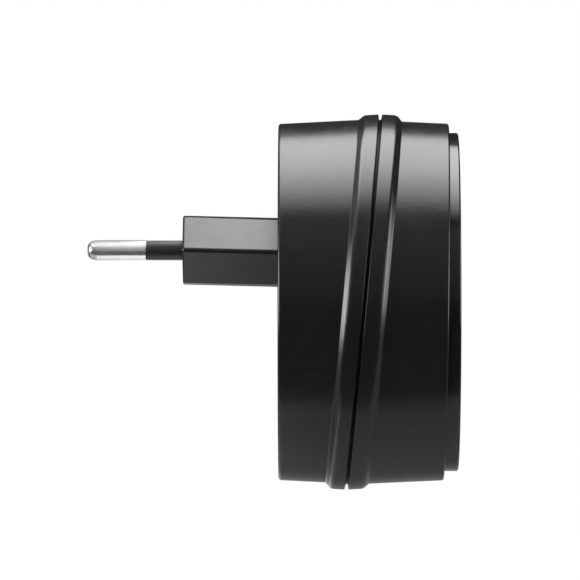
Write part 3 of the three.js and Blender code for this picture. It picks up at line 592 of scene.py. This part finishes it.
seat = loft("seat", [(x, plug_outline(BACK, 0.15)) for x in (BACK - 2, BACK + 0.6)])
opening = edged("opening", BACK - 9, BACK + 9, lambda inset: rectangle(-14.6, 14.6, -5.1, 5.1, 2.0, inset))
carve(rear, counterbores + board_pilots + [recess, seat, opening])
piece(rear, looks["case"], ["rear_case"])

front = revolve("front_shell", front_profile, (0, AXIS), TURN, loop=True)
inner_plate = rod("plate", (PLATE[0], 32.2, 0), (PLATE[1], 32.2, 0), (0, AXIS), TURN)
post_root = PLATE[0] + 0.5
front_posts = [rod("post", (BACK + 11.4, 3.0, 0.3), (post_root, 3.2, 0), post) for post in POSTS]
control_posts = [rod("post", (BACK + 27.05, 2.1, 0.2), (post_root, 2.3, 0), post) for post in CONTROL_POSTS]
pilots = [rod("pilot", (BACK + 10, 1.35, 0), (BACK + 22, 1.35, 0), post, 24) for post in POSTS]
pilots += [rod("pilot", (BACK + 24, 1.1, 0), (BACK + 30.6, 1.1, 0), post, 24) for post in CONTROL_POSTS]
carve(front, [inner_plate] + front_posts + control_posts, "UNION")


def round_the_rim(x0, x1, half, r0, r1, edge=0.0):
    """A block of the same size at each of the fascia's hooks, between two radii from the case's axis."""
    blocks = []
    for degrees in HOOK_ANGLES:
        block = edged("block", x0, x1, lambda inset: rectangle(-half, half, r0, r1, 0.25, inset), edge, 0)
        place = Matrix.Translation((0, 0, AXIS * MM)) @ Matrix.Rotation(-math.radians(degrees), 4, "X")
        blocks.append(moved(block, place))
    return blocks


cut_from, cut_to = BACK + 25, BACK + 40     # well past both sides of the plate
well_hole = edged("well_hole", cut_from, cut_to, lambda inset: hexagon(WELL_HOLE - inset))
button_hole = rod("button_hole", (cut_from, 9.2, 0), (cut_to, 9.2, 0), (0, BUTTON), 64)
leg_slot = edged(
    "leg_slot", cut_from, cut_to,
    lambda inset: rectangle(-10.6, 10.6, BUTTON - 1.5, BUTTON + 1.5, 0.3, inset),
)
hook_slots = round_the_rim(BACK + 28, BACK + 34.9, 2.8, 28.7, 30.7)
carve(front, pilots + [well_hole, button_hole, leg_slot] + hook_slots)
piece(front, looks["case"], ["front_case"])

# ------------------------------------------------------------------ the fascia


def dome(r):
    return FRONT - DOME * (r / FASCIA_R) ** 2


radii = [FASCIA_R * k / DOME_RINGS for k in range(DOME_RINGS)]
side = fillet([
    (FRONT - 1.6, 0, 0, 0),
    (FRONT - 1.6, FASCIA_SKIRT_R, 0.3, 3),
    (FASCIA_BACK, FASCIA_SKIRT_R, 0.15, 2),
    (FASCIA_BACK, FASCIA_R, 0.15, 2),
    (dome(FASCIA_R) + 0.02, FASCIA_R, 0.42, 8),
    (dome(radii[-1]), radii[-1], 0, 0),
])
profile = side[:-1] + [(dome(r), r) for r in reversed(radii)]
fascia = revolve("fascia", lambda a: profile, (0, AXIS), TURN)


def flared_hex(name, x0, x1, grow, flare):
    """A hexagonal cutter whose mouth at x1 opens by a small rounded flare."""
    sections = [(x0, hexagon(grow)), (x1 - flare, hexagon(grow))]
    for k in range(1, 5):
        t = math.pi / 2 * k / 4
        sections.append((x1 - flare + flare * math.sin(t), hexagon(grow + flare * (1 - math.cos(t)))))
    sections.append((x1 + 3, hexagon(grow + flare)))
    return loft(name, sections)


ring_hole = turned("ring_hole", [
    (BACK + 30, 0, 0, 0), (BACK + 30, 9.05, 0, 0), (FRONT - 0.30, 9.05, 0.2, 3), (FRONT + 0.02, 9.3, 0, 0),
    (FRONT + 3, 9.3, 0, 0), (FRONT + 3, 0, 0, 0),
], (0, BUTTON), 96)
carve(fascia, [flared_hex("fascia_hole", BACK + 30, FRONT - 0.02, WELL_HOLE, 0.18), ring_hole])
hook_legs = round_the_rim(BACK + 29.2, FRONT - 1.2, 2.5, 29.0, 30.4, 0.1)
hook_lips = round_the_rim(BACK + 29.25, BACK + 30.4, 2.45, 29.7, 31.3, 0.3)
carve(fascia, hook_legs + hook_lips, "UNION")
piece(fascia, looks["fascia"], ["front_fascia"])

# ------------------------------------------------------------------ the plug

quarter = [math.pi / 2 * k / EASE_STEPS for k in range(EASE_STEPS, -1, -1)]
stations = [(EASE * (1 - math.sin(t)), -(EASE * (1 - math.cos(t)))) for t in quarter]
stations += [(1.0, 0.0), (BACK / 2, 0.0), (BACK + 0.54, 0.0)]
plug = loft("plug_shell", [(x, plug_outline(x, grow)) for x, grow in stations])
spigot = edged(
    "spigot", BACK - 1, BACK + 4.2,
    lambda inset: rectangle(-14.1, 14.1, -4.8, 4.8, 2.4, inset), 0, 0.3,
)
barbs = [
    edged("barb", BACK + 2.72, BACK + 3.9,
          lambda inset, s=s: rectangle(-4, 4, 4.8 * s - 0.6, 4.8 * s + 0.6, 0.2, inset), 0, 0.3)
    for s in (-1, 1)
]
carve(plug, [spigot] + barbs, "UNION")
cavity = edged("cavity", 3.2, BACK + 8, lambda inset: rectangle(-12.7, 12.7, -3.3, 3.3, 1.2, inset))


def leaning(obj, side):
    """Leans a piece built along X with the pin on that side, and puts it at the pin's root."""
    turn = Matrix.Translation((0, side * HALF_PITCH * MM, 0)) @ Matrix.Rotation(side * LEAN, 4, "Z")
    return moved(obj, turn)


pin_holes = [
    leaning(turned("pin_hole", [
        (-3, 0, 0, 0), (-3, 2.25, 0, 0), (-0.02, 2.25, 0, 0), (0.2, 2.02, 0.1, 2),
        (5, 2.02, 0, 0), (5, 0, 0, 0),
    ], segments=48), side)
    for side in (-1, 1)
]
notches = [
    edged("notch", BACK + 2.3, BACK + 8,
          lambda inset, s=s: rectangle(min(8.6 * s, 12.6 * s), max(8.6 * s, 12.6 * s), -6, -3, 0.2, inset))
    for s in (-1, 1)
]
carve(plug, [cavity] + pin_holes + notches)
piece(plug, looks["plug"], ["plug_body"])

for name, side in (("live", -1), ("neutral", 1)):
    pin = leaning(turned(f"{name}_contact_pin", [
        (-18.97, 0, 0, 0),
        (-18.95, 1.05, 0.5, 4), (-18.3, 1.80, 1.1, 8), (-17.2, PIN_R, 2.0, 6), (PIN_SHOULDER, PIN_R, 0.08, 2),
        (PIN_SHOULDER, PIN_CORE, 0, 0), (3.5, PIN_CORE, 0, 0),
        (3.5, 2.6, 0.1, 2), (4.5, 2.6, 0.1, 2),
        (4.5, PIN_CORE, 0, 0), (9.0, PIN_CORE, 0.2, 2),
        (9.0, 0, 0, 0),
    ], segments=64), side)
    piece(pin, looks["nickel"], [f"{name}_pin"])
    sleeve = leaning(turned(f"{name}_sleeve", [
        (-7.25, 1.45, 0.05, 2), (-7.25, SLEEVE_R, 0.16, 4), (2.8, SLEEVE_R, 0.05, 2), (2.8, 1.45, 0.05, 2),
    ], segments=64, loop=True), side)
    piece(sleeve, looks["sleeve"], [f"{name}_pin_sleeve"])

# ------------------------------------------------------------------ the outlet

lip = FRONT - 0.12
well = edged("outlet_recess", WELL_FLOOR - WELL_WALL, lip, lambda inset: hexagon(2.0 - inset), 0.1, 0.22)
flange = edged("flange", FASCIA_BACK, BACK + 34.0, lambda inset: hexagon(3.5 - inset), 0.1, 0.1, 2)
carve(well, [flange], "UNION")
mouth = loft("mouth", [
    (WELL_FLOOR, hexagon(0.10)),
    (WELL_FLOOR + 0.10, hexagon(0.32)),
    (WELL_FLOOR + 0.35, hexagon(0.44)),
    (lip - 0.45, hexagon(0.52)),
    (lip - 0.20, hexagon(0.60)),
    (lip - 0.05, hexagon(0.78)),
    (lip + 0.02, hexagon(1.02)),
    (lip + 3, hexagon(1.02)),
])
contact_holes = [
    turned("contact_hole", [
        (WELL_FLOOR - 5, 0, 0, 0), (WELL_FLOOR - 5, 2.5, 0, 0), (WELL_FLOOR - 0.8, 2.5, 0.3, 3),
        (WELL_FLOOR + 0.02, 3.25, 0, 0), (WELL_FLOOR + 2, 3.25, 0, 0), (WELL_FLOOR + 2, 0, 0, 0),
    ], (y, 0), 64)
    for y in (-HALF_PITCH, HALF_PITCH)
]
carve(well, [mouth] + contact_holes)
piece(well, looks["well"], ["outlet_well"])

# ------------------------------------------------------------------ the button and its light

top = FRONT - 0.15
cap_r, cap_flange_r = 7.45, 8.5
button = turned("button_cap", [
    (BACK + 30.6, 0, 0, 0), (BACK + 30.6, 1.8, 0.2, 2), (BACK + 31.0, 1.8, 0.1, 2),
    (BACK + 31.0, cap_flange_r, 0.15, 2), (BACK + 32.15, cap_flange_r, 0.15, 2),
    (BACK + 32.15, cap_r, 0.1, 2), (top - 0.02, cap_r, 0.38, 6),
    (top, 6.7, 0.8, 5), (top - 0.32, 3.6, 4.0, 8), (top - 0.40, 0, 0, 0),
], (0, BUTTON), 96)
piece(button, looks["fascia"], ["power_button"], body="button")

ring_inner, ring_outer, ring_flange_r = 7.75, 8.75, 10.3
ring = turned("light_guide", [
    (FASCIA_BACK, ring_inner, 0, 0),
    (FASCIA_BACK, ring_flange_r, 0.1, 2), (FRONT - 1.9, ring_flange_r, 0.1, 2),
    (FRONT - 1.9, ring_outer, 0.1, 2), (FRONT - 0.13, ring_outer, 0.22, 5),
    (FRONT - 0.13, ring_inner, 0.22, 5),
], (0, BUTTON), 96, loop=True)
legs = [
    edged("leg", BACK + 27.95, BACK + 33.0,
          lambda inset, s=s: rectangle(9.8 * s - 0.5, 9.8 * s + 0.5, BUTTON - 0.8, BUTTON + 0.8, 0.15, inset),
          0.1, 0)
    for s in (-1, 1)
]
carve(ring, legs, "UNION")
piece(ring, looks["light"], ["light_ring"])

# The shutter's spring gets a mesh of its own.
spring = nodes["shutter_spring"]
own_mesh(spring)

# ------------------------------------------------------------------ screws and the blank plate

for i, (y, z) in enumerate(POSTS, 1):
    x = BACK + 6.95             # the head's underside, just clear of its counterbore's floor
    screw = turned(f"case_screw_{i}_fine", [
        (x - 1.9, 0, 0, 0), (x - 1.9, 1.5, 0.9, 5), (x - 1.0, 2.2, 0.5, 4), (x, 2.2, 0.1, 2), (x, 1.15, 0, 0),
        (x + 13, 1.15, 0, 0), (x + 14, 0.4, 0, 0), (x + 14, 0, 0, 0),
    ], (y, z), 40)
    arms = []
    for turn in (0, 90):
        arm = loft("arm", [
            (x - 3.0, [(-1.35, -0.34), (1.35, -0.34), (1.35, 0.34), (-1.35, 0.34)]),
            (x - 0.75, [(-0.45, -0.24), (0.45, -0.24), (0.45, 0.24), (-0.45, 0.24)]),
        ])
        spin = Matrix.Rotation(math.radians(turn + 17 * i), 4, "X")
        arms.append(moved(arm, Matrix.Translation((0, y * MM, z * MM)) @ spin))
    carve(screw, arms)
    piece(screw, looks["steel"], [f"case_screw_{i}"])

plate = edged("blank_plate", BACK + 0.08, BACK + 0.28,
              lambda inset: rectangle(-13.0, 13.0, AXIS - 28.0, AXIS - 11.0, 1.6, inset), 0.06, 0, 3)
piece(plate, looks["label"], ["rating_label"])

# ------------------------------------------------------------------ floor, light and camera

EYE = Vector((21.2, 0, -7.9)) * MM      # the middle of the picture
DISTANCE = 1.3
ASIDE = 5.4 * MM                        # how far the camera stands towards the front of the object
WIDTH = 116.0 * MM                      # what the picture spans at the object
SENSOR = 36.0
FLOOR = -110.0 * MM
FLOOR_RADIUS = 1.4


def stage_plane(name, corners, look, camera=True, glossy_only=False):
    """One flat face of the stage, from corners in metres."""
    obj = new_object(name, [Vector(c) / MM for c in corners], [tuple(range(len(corners)))])
    obj.data.materials.append(look)
    obj.visible_camera = camera
    if glossy_only:
        obj.visible_diffuse = obj.visible_transmission = obj.visible_shadow = False
        obj.visible_volume_scatter = False
    return obj


floor_look = Look("floor")
floor_look.colour(floor_look.mixed(floor_look.noise(25.0, 3.0), (0.80, 0.80, 0.80), (0.83, 0.83, 0.83)))
floor_look.roughness(floor_look.spread(floor_look.noise(8.0), 0.75, 0.85))
floor_look.set(Specular_IOR_Level=0.2)
# Painted light: the floor glows, and glows more the further it lies from the middle, on top of what the lamps
# give it.
from_middle = floor_look.node("ShaderNodeVectorMath", operation="LENGTH")
floor_look.link(floor_look.place, from_middle.inputs[0])
floor_look.link(floor_look.spread(from_middle.outputs["Value"], 0.0, 0.6, 0.25, 1.2),
                floor_look.shader.inputs["Emission Strength"])
floor_look.set(Emission_Color=(1, 1, 1, 1))
around = [(math.cos(2 * math.pi * k / 128), math.sin(2 * math.pi * k / 128)) for k in range(128)]
rim = [(0.02 + FLOOR_RADIUS * c, FLOOR_RADIUS * s, FLOOR) for c, s in around]
stage_plane("floor", rim, floor_look.material)


def ramp(look, value, stops):
    """A grey ramp through stops of (value, brightness from 0 to 1)."""
    low, high = stops[0][0], stops[-1][0]
    n = look.node("ShaderNodeValToRGB")
    while len(n.color_ramp.elements) < len(stops):
        n.color_ramp.elements.new(0.5)
    for element, (at, level) in zip(n.color_ramp.elements, stops):
        element.position = (at - low) / (high - low)
        element.color = (level, level, level, 1)
    look.link(look.spread(value, 0.0, 1.0, low, high), n.inputs["Fac"])
    return n.outputs["Color"]


def graded(name, strength, **axes):
    """A light surface whose radiance is the strength times a ramp along each named axis, in metres."""
    look = Look(name)
    look.tree.nodes.remove(look.shader)
    glow = look.node("ShaderNodeEmission")
    look.link(glow.outputs["Emission"], look.tree.nodes["Material Output"].inputs["Surface"])
    split = look.node("ShaderNodeSeparateXYZ")
    look.link(look.place, split.inputs["Vector"])
    level = None
    for axis, stops in axes.items():
        along = ramp(look, split.outputs[axis], stops)
        product = look.node("ShaderNodeMath", operation="MULTIPLY")
        product.inputs[1].default_value = strength
        look.link(along, product.inputs[0])
        if level is not None:
            look.link(level, product.inputs[1])
        level = product.outputs[0]
    look.link(level, glow.inputs["Strength"])
    return look.material


def light(name, corners, strength, glossy_only=False, **axes):
    """A flat light that the camera doesn't see. A glossy-only one is a card, seen only in reflections."""
    look = graded(name, strength, **axes)
    stage_plane(name, corners, look, camera=False, glossy_only=glossy_only)


def across_x(x, ys, zs):
    """The corners of a rectangle at right angles to X. The next two are for Y and Z."""
    return [(x, ys[0], zs[0]), (x, ys[1], zs[0]), (x, ys[1], zs[1]), (x, ys[0], zs[1])]


def across_y(y, xs, zs):
    return [(xs[0], y, zs[0]), (xs[1], y, zs[0]), (xs[1], y, zs[1]), (xs[0], y, zs[1])]


def across_z(z, xs, ys):
    return [(xs[0], ys[0], z), (xs[1], ys[0], z), (xs[1], ys[1], z), (xs[0], ys[1], z)]


# The overhead softbox is brightest above the object and fades towards the camera. Its stops are parts of its
# height.
HEIGHT = 0.5
fade = [(-0.70, 0.0), (-0.60, 0.08), (-0.466, 0.35), (-0.23, 0.67), (0.0, 0.90), (0.16, 0.90), (0.466, 0.71),
        (0.68, 0.57), (0.80, 0.42), (0.88, 0.18)]
y0, y1 = fade[0][0] * HEIGHT, fade[-1][0] * HEIGHT
light("softbox_top", [(-0.30, y0, HEIGHT), (-0.30, y1, HEIGHT), (0.28, y1, HEIGHT), (0.28, y0, HEIGHT)], 8.2,
      Y=[(u * HEIGHT, level) for u, level in fade])

# A softbox on either side, level with the object, and next to it a dimmer card on the camera's side.
left = [(-0.36, 0.01), (-0.23, 0.04), (-0.15, 0.3), (-0.09, 0.9), (0.0, 1.0), (0.12, 1.0), (0.18, 0.9),
        (0.26, 0.25), (0.40, 0.06)]
right = [(-0.28, 0.04), (-0.16, 0.28), (-0.08, 0.55), (0.0, 0.52), (0.08, 0.6), (0.2, 0.48), (0.3, 0.4),
         (0.42, 0.25)]
NEAR, NEAREST = -0.22, -0.8
for name, x, far, stops in (("left", -0.62, 0.0, left), ("right", 0.68, 0.06, right)):
    rise = (stops[0][0], stops[-1][0])
    light(f"softbox_{name}", across_x(x, (NEAR, far), rise), 12.0, Z=stops)
    light(f"spill_{name}", across_x(x, (NEAREST, NEAR), rise), 3.0, glossy_only=True, Z=stops,
          Y=[(NEAREST, 0.4), (-0.3, 1.0)])

# Cards seen only in reflections. The one over the floor is black towards the camera, and darker under the
# case than under the pins. The tall one stands behind the camera.
light(
    "card_under", across_z(FLOOR + 0.004, (-1.2, 1.2), (-1.6, 1.3)), 1.4, glossy_only=True,
    Y=[(-0.070, 0.0), (-0.055, 0.95), (0.0, 0.90), (0.025, 0.74), (0.056, 0.48), (0.10, 0.55), (0.17, 0.78),
       (0.36, 1.0)],
    X=[(-0.034, 0.3), (-0.022, 1.0), (-0.011, 1.0), (-0.003, 0.55), (0.004, 0.45), (0.012, 0.42),
       (0.020, 0.28), (0.5, 0.29)],
)
# Three small ones stand round the pins: a pale one in front, a pale one above, and a dark one off their tips.
light(
    "card_by_pins", across_y(-0.10, (-0.036, -0.005), (-0.04, 0.08)), 1.0, glossy_only=True,
    X=[(-0.036, 0.0), (-0.027, 1.0), (-0.011, 1.0), (-0.005, 0.0)],
    Z=[(-0.04, 0.0), (-0.01, 0.15), (0.004, 0.28), (0.04, 0.48), (0.08, 0.85)],
)
light(
    "card_over_pins", across_z(0.08, (-0.09, -0.009), (-0.10, 0.10)), 1.15, glossy_only=True,
    Y=[(-0.10, 0.85), (-0.04, 0.97), (-0.014, 0.82), (0.008, 0.46), (0.04, 0.36), (0.10, 0.36)],
)
light("card_off_tips", across_x(-0.08, (-0.005, 0.2), (-0.06, 0.06)), 0.1, glossy_only=True,
      Z=[(-0.06, 0.3), (0.06, 0.5)])
light("card_behind", across_y(-1.5, (-1.5, 1.5), (0.0, 1.9)), 0.34, glossy_only=True,
      Z=[(0.0, 0.25), (0.5, 0.55), (1.8, 1.0)])

# The surroundings are white to the camera, soft to diffuse surfaces, and nearly black in reflections.
scene = bpy.context.scene
world = bpy.data.worlds.new("studio")
scene.world = world
world.use_nodes = True
tree = world.node_tree
background = tree.nodes["Background"]
seen = tree.nodes.new("ShaderNodeLightPath")
fill = tree.nodes.new("ShaderNodeMapRange")
fill.inputs["To Min"].default_value, fill.inputs["To Max"].default_value = 0.03, 0.55
tree.links.new(seen.outputs["Is Diffuse Ray"], fill.inputs["Value"])
tone = tree.nodes.new("ShaderNodeMath")
tone.operation = "MAXIMUM"
tree.links.new(seen.outputs["Is Camera Ray"], tone.inputs[0])
tree.links.new(fill.outputs["Result"], tone.inputs[1])
tree.links.new(tone.outputs[0], background.inputs["Strength"])
background.inputs["Color"].default_value = (1, 1, 1, 1)

camera = bpy.data.cameras.new("camera")
camera.sensor_width = SENSOR
camera.lens = SENSOR * DISTANCE / WIDTH
camera.clip_start, camera.clip_end = 0.1, 50.0
eye = bpy.data.objects.new("camera", camera)
scene.collection.objects.link(eye)
eye.location = EYE + Vector((ASIDE, -DISTANCE, 0))
eye.rotation_euler = (math.pi / 2, 0, math.atan2(ASIDE, DISTANCE))
scene.camera = eye

scene.view_settings.view_transform = "Standard"
scene.view_settings.look = "None"
